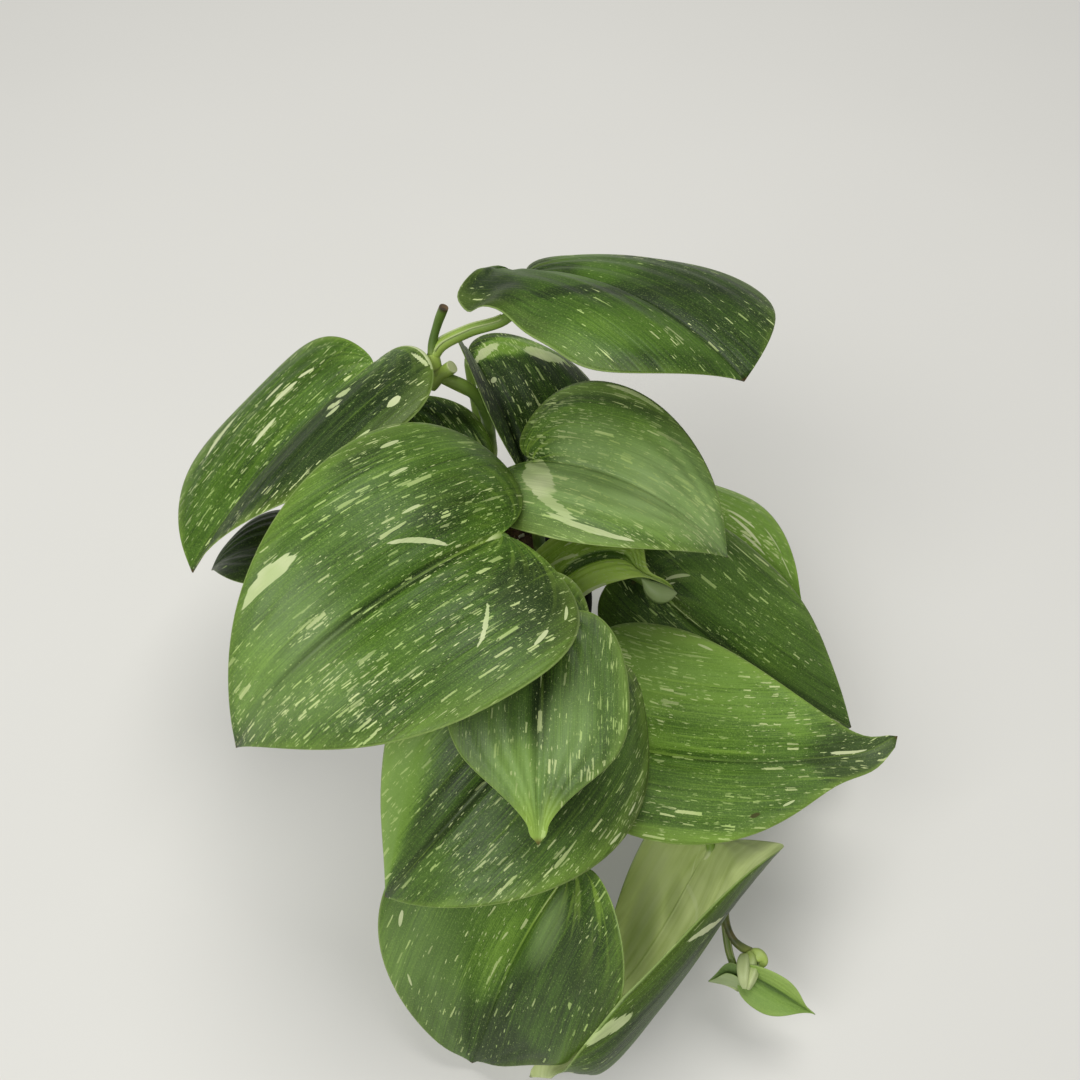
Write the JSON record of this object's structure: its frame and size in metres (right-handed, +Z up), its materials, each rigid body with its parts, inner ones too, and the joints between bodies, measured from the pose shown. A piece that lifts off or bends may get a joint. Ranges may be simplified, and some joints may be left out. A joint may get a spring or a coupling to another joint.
{
  "type": "potted scindapsus plant",
  "caption": "Trailing heart-leaved houseplant with satin green, cream-flecked leaves on arching vines, standing in soil in a round black nursery pot.",
  "frame": {"origin": "centre of the flat underside of the pot, on the surface that the pot stands on", "axes": "+Z up, +Y away from the viewer of the picture and towards the upright vine, +X to the right in the picture"},
  "size_m": [0.2536, 0.2559, 0.1903],
  "materials": {
    "pot": "matte black, slightly shiny",
    "soil": "rough, crumbly",
    "stem": "smooth, satin",
    "leaf": "satin, with cream flecks along the veins and paler undersides",
    "young_leaf": "smooth, satin"
  },
  "bodies": {
    "root": {"pot": "pot", "soil": "soil", "vine_back": "stem", "vine_centre": "stem", "vine_trailing": "stem", "vine_right": "stem", "vine_left": "stem", "leaf_01": "leaf", "leaf_02": "leaf", "leaf_03": "leaf", "leaf_04": "leaf", "leaf_05": "leaf", "leaf_06": "leaf", "leaf_07": "leaf", "leaf_08": "young_leaf", "leaf_09": "leaf", "leaf_10": "leaf", "leaf_11": "leaf", "leaf_12": "leaf", "leaf_13": "leaf", "leaf_14": "leaf", "leaf_15": "leaf", "leaflet_left": "young_leaf", "leaflet_right": "young_leaf", "bud": "young_leaf"}
  },
  "joints": []
}
